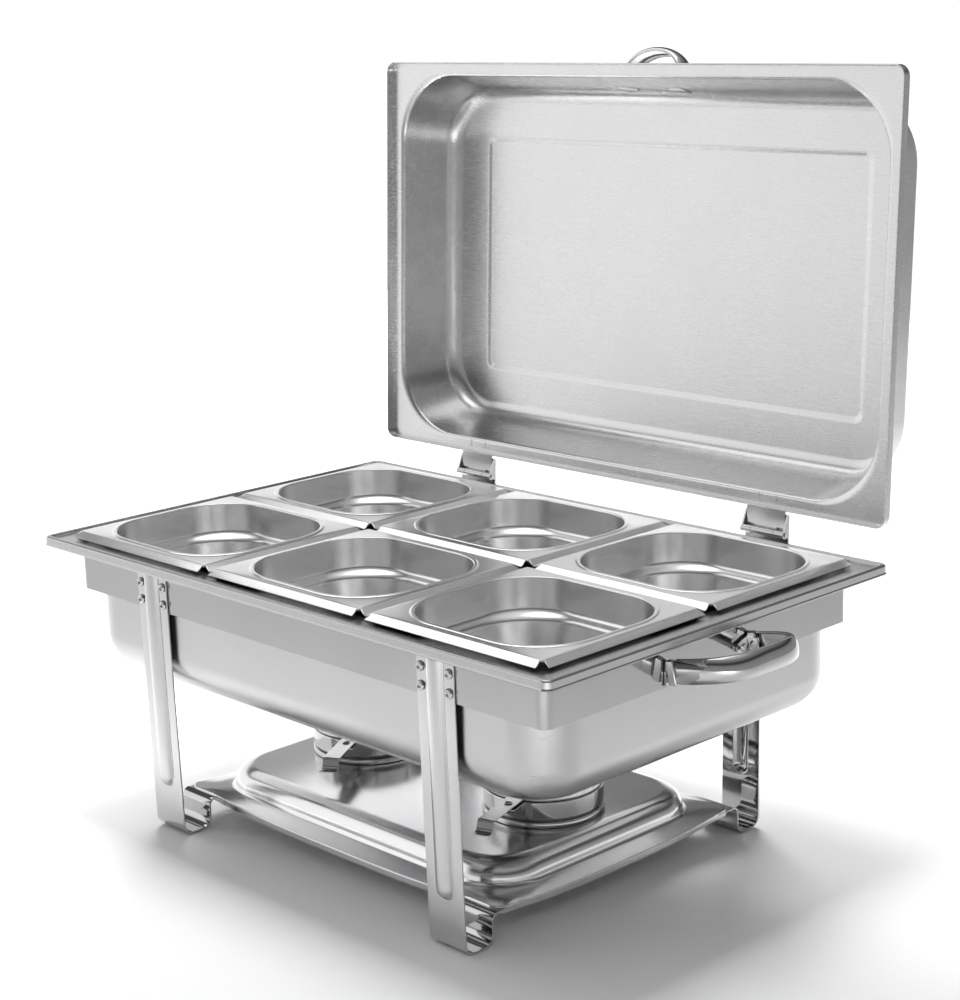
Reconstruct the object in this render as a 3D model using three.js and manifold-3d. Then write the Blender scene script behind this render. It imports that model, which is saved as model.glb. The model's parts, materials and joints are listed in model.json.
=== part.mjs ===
// Six-pan chafing dish: a folding-lid food warmer on a riveted strap frame, with two fuel burners.
// Millimetres, +Z up. X runs along the long side, +Y to the hinged rear, and the floor is z = 0.
// At rest the lid stands open against its hinge stops.
import * as THREE from "three";
import { mergeVertices } from "three/addons/utils/BufferGeometryUtils.js";
import Module from "manifold-3d";

const wasm = await Module();
wasm.setup();

// ---------------------------------------------------------------- driving dimensions
const GAP = 0.3; // clearance kept between pieces that touch
const SHEET = 1.2; // stainless sheet of pans, lid, band and tray

const PAN_PITCH_X = 178.4; // sixth-size pans with their turned-down edges: three along X, two along Y
const PAN_PITCH_Y = 166.6;
const PAN_TOP = 232; // top of the food pans' flanges above the floor
const PAN_DEPTH = 65; // the usual shallow depth of a sixth-size pan
const PAN_SHOULDER = 24; // depth of the stacking shoulder below the flange
const PAN_SKIRT = 3.6; // turned-down edge of a food pan's flange
const PAN_SKIRT_RUN = 6.6; // how far that edge slopes outwards as it goes down

const RIM_X = 286; // water pan rim, half sizes
const RIM_Y = 181;
const RIM_TOP = 228;
const RIM_LIP = 7;
const WATER_X = 259; // water pan body, half sizes
const WATER_Y = 158;
const WATER_BOTTOM = 120.5;
const WATER_CORNER = 36; // its upright corners
const WATER_FOOT_RADIUS = 28; // wall to bottom

const BAND_X = 263; // frame band, half sizes outside
const BAND_Y = 161;
const BAND_BOTTOM = 184.5;
const BAND_CORNER = 8;

const LEG_X = 162; // leg centre lines
const LEG_WIDTH = 36.7;
const LEG_SHEET = 1.5;
const LEG_TOP = 219;
const LEG_LEAN = 3; // how far a leg comes inwards between the band and its foot
const FOOT_DEPTH = 27; // the J-shaped foot, front to back
const FOOT_RADIUS = 9;
const RIB_HALF = 8.2; // embossed stiffening rib
const RIB_BULGE = 4.5;
const RIB_END = 39; // height of the rib's lower end
const LEG_RIVET_DX = 14; // from the leg's centre line
const LEG_RIVET_Z = [191.5, 205.3];

const TRAY_X = 180; // base tray, half sizes
const TRAY_Y = 127;
const TRAY_TOP = 25.5;
const TRAY_LIP = 5;
const PLATFORM_X = 165; // stamped platform, half sizes at its foot
const PLATFORM_Y = 111;
const PLATFORM_TOP = 43;

const BURNER_X = 100; // burner centres at y = 0
const BURNER_RADIUS = 46;
const BURNER_TURN = { left: -60, right: -72 }; // degrees, where the cover's handle points
const RING_HEIGHT = 4.2;
const CUP_HEIGHT = 15.6;
const COVER_SHEET = 1;
const PIVOT_RADIUS = 57; // cover pivot from the burner's centre
const STRAP_WIDTH = 13.5;
const STRAP_REACH = 93; // handle fold from the burner's centre

const LID_X = 276.2; // lid rim, half sizes
const LID_Y = 168.75;
const LID_LIP = 7.2; // turned-down lip
const LID_MOUTH_X = 261.3; // inside edge of the lid's flange
const LID_MOUTH_Y = 157;
const LID_ROOF_X = 250; // dome roof, half sizes
const LID_ROOF_Y = 143.5;
const LID_HEIGHT = 64;
const LID_BASE = 228.4; // lip edge of the closed lid
const LID_PANEL_X = 204.8; // embossed roof panel
const LID_PANEL_Y = 100.5;
const LID_OPEN = 93; // degrees

const HINGE_X = 162; // hinge centres, over the rear legs
const HINGE_Y = 188;
const HINGE_Z = 231;
const HINGE_WIDTH = 42;
const LEAF_WIDTH = 37.5;
const KNUCKLE_RADIUS = 3.2;
const PIN_RADIUS = 1.6;
const STOP_TOP = 246; // upper edge of the hinge's stop plate
const BRACKET_SHEET = 1.5;
const BRACKET_FOOT = 197.5; // lower edge of the hinge bracket
const CHEEK_SHEET = 1.6;

const HANDLE_WIDTH = 18;
const HANDLE_SECTION = 5; // crown of a grip's half-round section
const HANDLE_SHEET = 1.5;
const HANDLE_START = 10; // where a grip's ends stop short of the wall
const FOOT_PLATE = 2; // thickness of a handle's foot
// half: grip ends either side of the centre; power: 2 is an ellipse, more is squarer; tilt: degrees upwards;
// tongue: how far a foot's tongue goes into the grip
const SIDE_HANDLE = { half: 43.5, reach: 62, power: 3.2, tilt: 12, tongue: 12 };
const SIDE_HANDLE_Z = 195; // centre height
const LID_HANDLE = { half: 31, reach: 36.5, power: 2.1, tilt: 0, tongue: 2 };
const LID_HANDLE_Z = 45; // centre above the lid's lip edge

const CORNER_STEPS = 5; // facets in a quarter turn of a sheet corner
const ROUND_STEPS = 24; // facets in a full circle

// ---------------------------------------------------------------- materials
const finishes = {
  satin: new THREE.MeshStandardMaterial({ color: 0xc9cacb, roughness: 0.34, metalness: 1 }),
  brushed: new THREE.MeshStandardMaterial({ color: 0xd2d3d4, roughness: 0.28, metalness: 1 }),
  mirror: new THREE.MeshStandardMaterial({ color: 0xdcdddf, roughness: 0.12, metalness: 1 }),
  rivet: new THREE.MeshStandardMaterial({ color: 0xbfc1c3, roughness: 0.3, metalness: 1 }),
};

// ---------------------------------------------------------------- shape helpers
const assembly = new THREE.Group();

function place(name, geometry, finish, parent = assembly) {
  const mesh = new THREE.Mesh(geometry, finishes[finish]);
  mesh.name = name;
  parent.add(mesh);
  return mesh;
}

// A rounded rectangle's points, counter-clockwise seen from above, at height z.
function ring({ x, y, r, z }, steps = CORNER_STEPS) {
  const points = [];
  for (let corner = 0; corner < 4; corner++) {
    const cx = (corner === 0 || corner === 3 ? 1 : -1) * (x - r);
    const cy = (corner < 2 ? 1 : -1) * (y - r);
    for (let i = 0; i <= steps; i++) {
      const a = ((corner + i / steps) * Math.PI) / 2;
      points.push([cx + r * Math.cos(a), cy + r * Math.sin(a), z]);
    }
  }
  return points;
}

function indexed(positions, faces) {
  const geometry = new THREE.BufferGeometry();
  geometry.setAttribute("position", new THREE.Float32BufferAttribute(positions.flat(), 3));
  geometry.setIndex(faces.flat());
  return geometry;
}

// Joins rings of equal length. An open chain is closed by a flat cap at each end; a loop has no caps.
function loft(rings, loop = false) {
  const count = rings[0].length;
  const faces = [];
  const spans = loop ? rings.length : rings.length - 1;
  for (let k = 0; k < spans; k++) {
    const low = k * count;
    const high = ((k + 1) % rings.length) * count;
    for (let i = 0; i < count; i++) {
      const j = (i + 1) % count;
      faces.push([low + i, low + j, high + j], [low + i, high + j, high + i]);
    }
  }
  if (!loop) {
    const last = (rings.length - 1) * count;
    for (let i = 1; i < count - 1; i++) {
      faces.push([0, i + 1, i], [last, last + i, last + i + 1]);
    }
  }
  return indexed(rings.flat(), faces);
}

const levels = (list, steps) => list.map((level) => ring(level, steps));

// A strip of even thickness along an open path of [u, v] points, as a closed outline.
function ribbon(path, thickness) {
  const normals = path.map((p, i) => {
    const a = path[Math.max(i - 1, 0)];
    const b = path[Math.min(i + 1, path.length - 1)];
    const before = i ? unit(p[0] - a[0], p[1] - a[1]) : unit(b[0] - p[0], b[1] - p[1]);
    const after = i < path.length - 1 ? unit(b[0] - p[0], b[1] - p[1]) : before;
    const mid = unit(before[0] + after[0], before[1] + after[1]);
    const stretch = 1 / Math.max(mid[0] * before[0] + mid[1] * before[1], 0.5);
    return [-mid[1] * stretch, mid[0] * stretch];
  });
  const side = (s) => path.map((p, i) => p.map((v, k) => v + (s * thickness * normals[i][k]) / 2));
  return [...side(1), ...side(-1).reverse()];
}

function unit(x, y) {
  const length = Math.hypot(x, y);
  return [x / length, y / length];
}

// Points of an arc from angle a to angle b, in degrees.
function arc(cx, cy, r, a, b, steps) {
  return Array.from({ length: steps + 1 }, (_, i) => {
    const t = ((a + ((b - a) * i) / steps) * Math.PI) / 180;
    return [cx + r * Math.cos(t), cy + r * Math.sin(t)];
  });
}

// Extrudes an outline of [y, z] points along X, centred on x.
function extrudeX(outline, width, x) {
  const shape = new THREE.Shape(outline.map(([y, z]) => new THREE.Vector2(y, z)));
  const geometry = new THREE.ExtrudeGeometry(shape, { depth: width, bevelEnabled: false });
  // the outline's first axis becomes Y, its second Z, and the depth X
  geometry.applyMatrix4(new THREE.Matrix4().set(0, 0, 1, x - width / 2, 1, 0, 0, 0, 0, 1, 0, 0, 0, 0, 0, 1));
  return geometry;
}

// A turned solid about Z from [radius, z] points.
function turned(profile, segments = ROUND_STEPS) {
  const points = profile.map(([r, z]) => new THREE.Vector2(r, z));
  return new THREE.LatheGeometry(points, segments).rotateX(Math.PI / 2);
}

// ---------------------------------------------------------------- joining and cutting
function solid(geometry) {
  const plain = geometry.clone();
  plain.deleteAttribute("normal");
  plain.deleteAttribute("uv");
  const merged = mergeVertices(plain, 1e-4);
  return new wasm.Manifold(
    new wasm.Mesh({
      numProp: 3,
      vertProperties: merged.attributes.position.array,
      triVerts: new Uint32Array(merged.index.array),
    }),
  );
}

function geometryOf(manifold) {
  const mesh = manifold.getMesh();
  const geometry = new THREE.BufferGeometry();
  geometry.setAttribute("position", new THREE.BufferAttribute(mesh.vertProperties, 3));
  geometry.setIndex(new THREE.BufferAttribute(mesh.triVerts, 1));
  return geometry;
}

const joined = (first, ...rest) => geometryOf(rest.reduce((a, b) => a.add(solid(b)), solid(first)));
const cut = (first, ...tools) => geometryOf(tools.reduce((a, b) => a.subtract(solid(b)), solid(first)));

// A bore along Y for a rivet's shank.
function boreY(x, y, z, radius, length) {
  return new THREE.CylinderGeometry(radius, radius, length, 8).translate(x, y, z);
}

// ---------------------------------------------------------------- frame: band, legs, rivets, tray
const RIVET_BORE = 2.2;
const legPlaces = [];
for (const [fore, sy] of [["front", -1], ["rear", 1]]) {
  for (const [hand, sx] of [["left", -1], ["right", 1]]) legPlaces.push({ name: `${fore}_${hand}`, sx, sy });
}
const rivetPlaces = legPlaces.flatMap(({ name, sx, sy }) =>
  LEG_RIVET_Z.flatMap((z, row) =>
    [-1, 1].map((side) => ({
      name: `rivet_${name}_${row ? "upper" : "lower"}_${side < 0 ? "a" : "b"}`,
      x: sx * LEG_X + side * LEG_RIVET_DX,
      z,
      sy,
    })),
  ),
);

function frameBand() {
  const outer = { x: BAND_X, y: BAND_Y, r: BAND_CORNER };
  const inner = { x: BAND_X - SHEET, y: BAND_Y - SHEET, r: BAND_CORNER - SHEET };
  const top = RIM_TOP - SHEET - GAP;
  const body = loft(
    levels([
      { ...outer, z: BAND_BOTTOM },
      { ...outer, z: top },
      { ...inner, z: top },
      { ...inner, z: BAND_BOTTOM },
    ]),
    true,
  );
  return cut(body, ...rivetPlaces.map(({ x, z, sy }) => boreY(x, sy * BAND_Y, z, RIVET_BORE, 8)));
}

// Side view of a front leg: down the strap, round the foot's two bends, up the riser and in under the tray.
function legPath() {
  const outer = -(BAND_Y + GAP + LEG_SHEET / 2);
  const front = outer + LEG_LEAN;
  const r = FOOT_RADIUS - LEG_SHEET / 2;
  const low = LEG_SHEET / 2;
  const riser = front + FOOT_DEPTH - LEG_SHEET;
  const tab = TRAY_TOP - SHEET - GAP - LEG_SHEET / 2;
  const bend = 5;
  const tabLength = 18;
  return [
    [outer, LEG_TOP],
    [outer, BAND_BOTTOM],
    ...arc(front + r, low + r, r, 180, 270, 4),
    ...arc(riser - r, low + r, r, 270, 360, 4),
    ...arc(riser + bend, tab - bend, bend, 180, 90, 3),
    [riser + bend + tabLength, tab],
  ];
}

// A D-shaped bar along the strap, half round to the front and flat behind, with a rounded lower end.
function ribSolid(x, { face, half, bulge, back, end }) {
  const lean = (z) => LEG_LEAN * Math.max(0, 1 - z / BAND_BOTTOM);
  const section = (z, share) => [
    ...arc(0, 0, share, 180, 360, 6).map(([u, v]) => [x + half * u, face + bulge * v + lean(z), z]),
    [x + half * share, face + back + lean(z), z],
    [x - half * share, face + back + lean(z), z],
  ];
  const tip = [8, 35, 60].map((a) => (a * Math.PI) / 180);
  return loft([
    ...tip.map((a) => section(end + half * (1 - Math.cos(a)), Math.sin(a))),
    section(end + half, 1),
    section(BAND_BOTTOM, 1),
    section(LEG_TOP + 1, 1),
  ]);
}

function leg({ sx, sy }) {
  const x = sx * LEG_X;
  const face = -(BAND_Y + GAP + LEG_SHEET);
  const strap = extrudeX(ribbon(legPath(), LEG_SHEET), LEG_WIDTH, x);
  const wall = 1.4;
  const rib = ribSolid(x, { face, half: RIB_HALF, bulge: RIB_BULGE, back: 0.7, end: RIB_END });
  const channel = ribSolid(x, {
    face: face + LEG_SHEET,
    half: RIB_HALF - wall,
    bulge: RIB_BULGE,
    back: 1,
    end: RIB_END + wall,
  });
  const above = new THREE.BoxGeometry(80, 80, 60).translate(x, face, LEG_TOP + 30);
  const bores = [-1, 1].flatMap((side) =>
    LEG_RIVET_Z.map((z) => boreY(x + side * LEG_RIVET_DX, face, z, RIVET_BORE, 8)),
  );
  const made = cut(joined(strap, rib), channel, above, ...bores);
  return sy < 0 ? made : made.applyMatrix4(new THREE.Matrix4().makeRotationZ(Math.PI)).translate(2 * x, 0, 0);
}

// Domed head outside, shank through strap and band, flat tail inside.
// The upper rear ones also hold a hinge bracket.
function rivet({ x, z, sy }) {
  const holdsHinge = sy > 0 && z === LEG_RIVET_Z[1];
  const outside = BAND_Y + LEG_SHEET + 2 * GAP + (holdsHinge ? BRACKET_SHEET + GAP : 0);
  const inside = BAND_Y - SHEET - GAP;
  const profile = [
    [0, inside - 0.7],
    [3, inside - 0.7],
    [3, inside],
    [1.9, inside],
    [1.9, outside],
    [3.7, outside],
    [2.4, outside + 1.3],
    [0, outside + 1.6],
  ];
  return turned(profile, 8)
    .rotateX(-Math.PI / 2)
    .rotateZ(sy < 0 ? Math.PI : 0)
    .translate(x, 0, z);
}

// The tray is one stamped sheet: turned-down edge, flat margin, then the raised platform.
function baseTray() {
  const roll = 9; // platform shoulder radius
  const step = 3;
  const corner = 40;
  const top = (d) => [
    { x: TRAY_X - d, y: TRAY_Y - d, r: 9 - d, z: TRAY_TOP - TRAY_LIP },
    { x: TRAY_X - d, y: TRAY_Y - d, r: 9 - d, z: TRAY_TOP - d },
    { x: PLATFORM_X - d, y: PLATFORM_Y - d, r: corner - d, z: TRAY_TOP - d },
    { x: PLATFORM_X - d - 0.6, y: PLATFORM_Y - d - 0.6, r: corner - d, z: TRAY_TOP + step - d },
    ...[30, 60, 90].map((a) => {
      const t = (a * Math.PI) / 180;
      const inset = 0.6 + roll * (1 - Math.cos(t)) + d;
      const rise = (PLATFORM_TOP - TRAY_TOP - step) * Math.sin(t);
      const z = TRAY_TOP + step + rise - d;
      return { x: PLATFORM_X - inset, y: PLATFORM_Y - inset, r: corner - inset, z };
    }),
  ];
  const sheet = loft(levels([...top(SHEET).reverse(), ...top(0)]));
  // the edge stays flat where the legs' tabs pass under it
  const clear = LEG_X - LEG_WIDTH / 2 - 2;
  const notches = legPlaces.map(({ sx, sy }) =>
    new THREE.BoxGeometry(60, 40, 20).translate(sx * (clear + 30), sy * (TRAY_Y - 10), TRAY_TOP - SHEET - 10),
  );
  return cut(sheet, ...notches);
}

// ---------------------------------------------------------------- pans
// Turns a list of outside levels into a vessel: outside from the bottom up, then inside back down.
function vessel(outside, inside) {
  return loft(levels([...outside, ...inside]));
}

function waterPan() {
  const z = RIM_TOP;
  const side = (d) => {
    const r = WATER_FOOT_RADIUS - d;
    return [0, 30, 60, 90].map((a) => {
      const t = (a * Math.PI) / 180;
      const inset = d + WATER_FOOT_RADIUS - d - r * Math.sin(t);
      return {
        x: WATER_X - inset,
        y: WATER_Y - inset,
        r: WATER_CORNER - inset + d * 0.2,
        z: WATER_BOTTOM + WATER_FOOT_RADIUS - r * Math.cos(t),
      };
    });
  };
  const rimCorner = 6;
  const mouthCorner = 40;
  return vessel(
    [
      ...side(0),
      { x: WATER_X, y: WATER_Y, r: mouthCorner, z: z - SHEET },
      { x: RIM_X - SHEET, y: RIM_Y - SHEET, r: rimCorner - SHEET, z: z - SHEET },
      { x: RIM_X - SHEET, y: RIM_Y - SHEET, r: rimCorner - SHEET, z: z - RIM_LIP },
      { x: RIM_X, y: RIM_Y, r: rimCorner, z: z - RIM_LIP },
      { x: RIM_X, y: RIM_Y, r: rimCorner, z },
    ],
    [{ x: WATER_X - SHEET, y: WATER_Y - SHEET, r: mouthCorner - SHEET, z }, ...side(SHEET).reverse()],
  );
}

function foodPan() {
  const half = { x: PAN_PITCH_X / 2 - GAP, y: PAN_PITCH_Y / 2 - GAP };
  const mouth = { x: 75.3, y: 68.3, r: 46.5 };
  const floor = { x: 58, y: 51, r: 26 };
  const heel = { x: 67, y: 60, r: 36 };
  const flange = { ...half, r: 8 };
  const grow = (level, d) => ({ x: level.x + d, y: level.y + d, r: level.r + d });
  const bottom = PAN_TOP - PAN_DEPTH;
  const sheet = 0.9;
  const wall = (d) => [
    { ...grow(floor, d), z: bottom + sheet - d },
    { ...grow(heel, d), z: bottom + 8 },
    { ...grow(mouth, d - 4.7), z: PAN_TOP - PAN_SHOULDER - 4.5 },
    { ...grow(mouth, d), z: PAN_TOP - PAN_SHOULDER },
  ];
  return vessel(
    [
      ...wall(sheet),
      { ...grow(mouth, sheet), z: PAN_TOP - sheet },
      { ...grow(flange, -PAN_SKIRT_RUN), z: PAN_TOP - sheet },
      { ...grow(flange, -sheet), z: PAN_TOP - PAN_SKIRT },
      { ...flange, z: PAN_TOP - PAN_SKIRT },
      { ...grow(flange, -PAN_SKIRT_RUN), z: PAN_TOP },
    ],
    [{ ...mouth, z: PAN_TOP }, ...wall(0).reverse()],
  );
}

// ---------------------------------------------------------------- lid, drawn closed about its own rim centre
function lidShell() {
  const roll = 12; // roof to wall
  const wall = (d) => [
    { x: LID_ROOF_X + d + 0.5, y: LID_ROOF_Y + d + 0.5, r: 52 + d, z: LID_HEIGHT - SHEET - roll + d },
    { x: LID_ROOF_X - 3 + d, y: LID_ROOF_Y - 3 + d, r: 49 + d, z: LID_HEIGHT - SHEET - 3.2 + d },
    { x: LID_ROOF_X - roll, y: LID_ROOF_Y - roll, r: 41, z: LID_HEIGHT - SHEET - 1.2 + d },
  ];
  const panel = (d) => [
    { x: LID_PANEL_X + 3, y: LID_PANEL_Y + 3, r: 9, z: LID_HEIGHT - SHEET - 1.2 + d },
    { x: LID_PANEL_X, y: LID_PANEL_Y, r: 6, z: LID_HEIGHT - SHEET + d },
  ];
  const lipCorner = 9;
  const lip = (d) => ({ x: LID_X - d, y: LID_Y - d, r: lipCorner - d });
  return loft(
    levels([
      ...panel(0).reverse(),
      ...wall(0).reverse(),
      { x: LID_MOUTH_X, y: LID_MOUTH_Y, r: 60, z: LID_LIP - SHEET },
      { ...lip(SHEET), z: LID_LIP - SHEET },
      { ...lip(SHEET), z: 0 },
      { ...lip(0), z: 0 },
      { ...lip(0), z: LID_LIP },
      { x: LID_MOUTH_X + SHEET, y: LID_MOUTH_Y + SHEET, r: 60 + SHEET, z: LID_LIP },
      ...wall(SHEET),
      ...panel(SHEET),
    ]),
  );
}

// ---------------------------------------------------------------- handles: standing out along -Y from y = 0
// Centre line of the grip: half a superellipse, from one end round to the other.
function gripCurve({ half, reach, power }) {
  const steps = 16;
  const depth = reach - HANDLE_SECTION / 2 - HANDLE_START;
  return Array.from({ length: steps + 1 }, (_, i) => {
    const t = Math.PI * (1 - i / steps);
    const across = half * Math.sign(Math.cos(t)) * Math.abs(Math.cos(t)) ** (2 / power);
    return [across, -HANDLE_START - depth * Math.max(Math.sin(t), 0) ** (2 / power)];
  });
}

// A C-shaped strap: crowned outside, hollow inside.
function grip(handle) {
  const path = gripCurve(handle);
  const half = HANDLE_WIDTH / 2;
  const inner = { crown: HANDLE_SECTION - HANDLE_SHEET, half: half - HANDLE_SHEET };
  const crown = [0, 36, 72, 108, 144, 180].map((a) => (a * Math.PI) / 180);
  const edge = 0.4; // how far the inner curve is shifted, which gives the strap's edges their thickness
  const section = [
    ...crown.map((a) => [HANDLE_SECTION * Math.sin(a), -half * Math.cos(a)]),
    ...crown.map((a) => [inner.crown * Math.sin(a) - edge, inner.half * Math.cos(a)]),
  ];
  const rings = path.map((p, i) => {
    const a = path[Math.max(i - 1, 0)];
    const b = path[Math.min(i + 1, path.length - 1)];
    const along = i === 0 || i === path.length - 1 ? [0, i ? 1 : -1] : unit(b[0] - a[0], b[1] - a[1]);
    const out = [along[1], -along[0]];
    return section.map(([o, z]) => {
      const shift = o - HANDLE_SECTION / 2;
      return [p[0] + shift * out[0], p[1] + shift * out[1], z];
    });
  });
  // the section isn't convex, so its end caps pair the outer and inner curves
  const count = section.length;
  const faces = [];
  for (let k = 0; k < rings.length - 1; k++) {
    for (let i = 0; i < count; i++) {
      const j = (i + 1) % count;
      const low = k * count;
      faces.push([low + i, low + count + j, low + j], [low + i, low + count + i, low + count + j]);
    }
  }
  const last = (rings.length - 1) * count;
  for (let i = 0; i < crown.length - 1; i++) {
    const back = count - 1 - i;
    faces.push([i, i + 1, back], [i + 1, back - 1, back]);
    faces.push([last + i, last + back, last + i + 1], [last + i + 1, last + back, last + back - 1]);
  }
  return indexed(rings.flat(), faces);
}

// One end's foot: a plate that tapers inwards along the wall, a ferrule that meets the grip's end,
// and a tongue that reaches into the grip's hollow.
function gripFoot({ half, tilt, tongue: grasp }) {
  const length = 16;
  const high = HANDLE_WIDTH / 2;
  const tip = 3;
  const outside = half + HANDLE_SECTION / 2;
  const inside = half - HANDLE_SECTION / 2;
  const plate = new THREE.ExtrudeGeometry(
    new THREE.Shape([
      new THREE.Vector2(outside, -high),
      new THREE.Vector2(outside, high),
      new THREE.Vector2(outside - length, tip),
      new THREE.Vector2(outside - length, -tip),
    ]),
    { depth: FOOT_PLATE, bevelEnabled: false },
  )
    .rotateX(Math.PI / 2)
    .translate(0, -GAP, 0);
  const block = ([x0, x1], [y0, y1], z) =>
    new THREE.BoxGeometry(x1 - x0, y1 - y0, 2 * z)
      .translate((x0 + x1) / 2, (y0 + y1) / 2, 0)
      .rotateX((-tilt * Math.PI) / 180);
  const ferrule = block([inside, outside], [-HANDLE_START + GAP, 5], high);
  const tongue = block([inside - 0.4, half - 0.8], [-HANDLE_START - grasp, 0], high / 2);
  const wall = new THREE.BoxGeometry(200, 40, 80).translate(0, 20 - GAP, 0);
  return cut(joined(plate, ferrule, tongue), wall);
}

function handleSet(prefix, handle, parent) {
  const bow = place(prefix, grip(handle), "mirror", parent);
  bow.rotation.x = (-handle.tilt * Math.PI) / 180;
  place(`${prefix}_foot_a`, gripFoot(handle), "mirror", parent).scale.x = -1;
  place(`${prefix}_foot_b`, gripFoot(handle), "mirror", parent);
}

// ---------------------------------------------------------------- hinges, drawn about the pin's axis
function rodX(radius, from, to) {
  const sides = 12;
  const outline = arc(0, 0, radius, 0, 360 - 360 / sides, sides - 1);
  return extrudeX(outline, to - from, (from + to) / 2);
}

const LEAF_KNUCKLE = 11; // half length of the leaf's knuckle
const HINGE_BORE = PIN_RADIUS + 0.15;

// Fixed half: riveted over the rear leg, out under the rim, up behind the pin, and on up as the stop plate.
function hingeBracket() {
  const back = KNUCKLE_RADIUS + GAP + BRACKET_SHEET / 2;
  const riveted = BAND_Y + LEG_SHEET + 2 * GAP + BRACKET_SHEET / 2 - HINGE_Y;
  const shelf = RIM_TOP - RIM_LIP - 4 - HINGE_Z;
  const stop = STOP_TOP - HINGE_Z;
  const lean = stop * Math.tan(((LID_OPEN - 90) * Math.PI) / 180);
  const path = [
    [riveted, BRACKET_FOOT - HINGE_Z],
    [riveted, shelf],
    [back, shelf],
    [back, 0],
    [back + lean, stop],
  ];
  const plate = extrudeX(ribbon(path, BRACKET_SHEET), HINGE_WIDTH, 0);
  const knuckles = [-1, 1].map((side) => {
    const from = side < 0 ? -HINGE_WIDTH / 2 : LEAF_KNUCKLE + GAP;
    const to = side < 0 ? -LEAF_KNUCKLE - GAP : HINGE_WIDTH / 2;
    return rodX(KNUCKLE_RADIUS, from, to);
  });
  const cheek = [
    [-2.5, 0],
    [back, -4],
    [back + lean, stop],
    [back + lean - 1, stop],
  ];
  const cheekX = (HINGE_WIDTH - CHEEK_SHEET) / 2;
  const cheeks = [-1, 1].map((side) => extrudeX(cheek, CHEEK_SHEET, side * cheekX));
  const webs = [-1, 1].map((side) =>
    new THREE.BoxGeometry(HINGE_WIDTH / 2 - LEAF_KNUCKLE - GAP, back, KNUCKLE_RADIUS).translate(
      (side * (HINGE_WIDTH / 2 + LEAF_KNUCKLE + GAP)) / 2,
      back / 2,
      0,
    ),
  );
  // the leg's rib stands through a slot, and the upper leg rivets go through the plate
  const slot = new THREE.BoxGeometry(2 * RIB_HALF + 3, 12, 60).translate(0, riveted, shelf - 20);
  const boreZ = LEG_RIVET_Z[1] - HINGE_Z;
  const bores = [-1, 1].map((side) => boreY(side * LEG_RIVET_DX, riveted, boreZ, RIVET_BORE, 8));
  const body = joined(plate, ...knuckles, ...webs, ...cheeks);
  return cut(body, rodX(HINGE_BORE, -HINGE_WIDTH, HINGE_WIDTH), slot, ...bores);
}

// Moving half, drawn for the closed lid: knuckle, plate forward, up the lid's lip and over its flange.
function hingeLeaf() {
  const thick = 1.2;
  const level = KNUCKLE_RADIUS - thick / 2;
  const lip = LID_Y - HINGE_Y + GAP + thick / 2;
  const top = LID_BASE + LID_LIP - HINGE_Z + GAP + thick / 2;
  const path = [
    [-KNUCKLE_RADIUS - 1.2, level],
    [lip, level],
    [lip, top],
    [lip - 10.5, top],
  ];
  const plate = extrudeX(ribbon(path, thick), LEAF_WIDTH, 0);
  const tongue = extrudeX(ribbon([[0, level], [-6, level]], thick), 2 * LEAF_KNUCKLE, 0);
  const body = joined(plate, tongue, rodX(KNUCKLE_RADIUS, -LEAF_KNUCKLE, LEAF_KNUCKLE));
  return cut(body, rodX(HINGE_BORE, -HINGE_WIDTH, HINGE_WIDTH));
}

function hingePin() {
  return rodX(PIN_RADIUS, -HINGE_WIDTH / 2 - 1, HINGE_WIDTH / 2 + 1);
}

// ---------------------------------------------------------------- burners
// Drawn about their own centre, with the cover's handle along +X.
const RING_BASE = PLATFORM_TOP + GAP;
const CUP_BASE = RING_BASE + RING_HEIGHT + GAP;
const CUP_TOP = CUP_BASE + CUP_HEIGHT;
const COVER_BASE = CUP_TOP + GAP;

function seatRing() {
  const z = RING_BASE;
  return turned([
    [BURNER_RADIUS - 7, z],
    [BURNER_RADIUS + 0.8, z],
    [BURNER_RADIUS + 0.8, z + RING_HEIGHT],
    [BURNER_RADIUS - 7, z + RING_HEIGHT],
    [BURNER_RADIUS - 7, z],
  ]);
}

function burnerCup() {
  return turned([
    [0, CUP_BASE],
    [BURNER_RADIUS, CUP_BASE],
    [BURNER_RADIUS, CUP_TOP],
    [BURNER_RADIUS - 1.6, CUP_TOP],
    [BURNER_RADIUS - 1.6, CUP_BASE + 1.2],
    [0, CUP_BASE + 1.2],
  ]);
}

function pivotBore(z) {
  return new THREE.CylinderGeometry(1.8, 1.8, 6, 8).rotateX(Math.PI / 2).translate(PIVOT_RADIUS, 0, z);
}

// Small tab riveted to the cup's wall, with an ear that holds the cover's pivot.
function pivotBracket() {
  const wall = BURNER_RADIUS + GAP;
  const ear = CUP_TOP - 1.6;
  const tab = extrudeX(
    [
      [-wall, ear - 9],
      [-wall, ear + 1.2],
      [-(PIVOT_RADIUS + 5), ear + 1.2],
      [-(PIVOT_RADIUS + 5), ear],
      [-(wall + 1.2), ear],
      [-(wall + 1.2), ear - 9],
    ],
    14,
    0,
  ).rotateZ(Math.PI / 2);
  return cut(tab, pivotBore(ear));
}

function burnerCover() {
  return turned([
    [0, COVER_BASE],
    [BURNER_RADIUS - 1, COVER_BASE],
    [BURNER_RADIUS - 1, COVER_BASE + COVER_SHEET],
    [0, COVER_BASE + COVER_SHEET],
  ]);
}

// Flat strap riveted on the cover: out over the pivot, folded down, with a finger lip.
function coverHandle() {
  const level = COVER_BASE + COVER_SHEET + GAP + COVER_SHEET / 2;
  const path = [
    [-20, level],
    [STRAP_REACH, level],
    [STRAP_REACH + 3, level - 8],
    [STRAP_REACH + 10, level - 7],
  ];
  const strap = extrudeX(ribbon(path, COVER_SHEET), STRAP_WIDTH, 0).rotateZ(-Math.PI / 2);
  return cut(strap, pivotBore(level));
}

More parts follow.
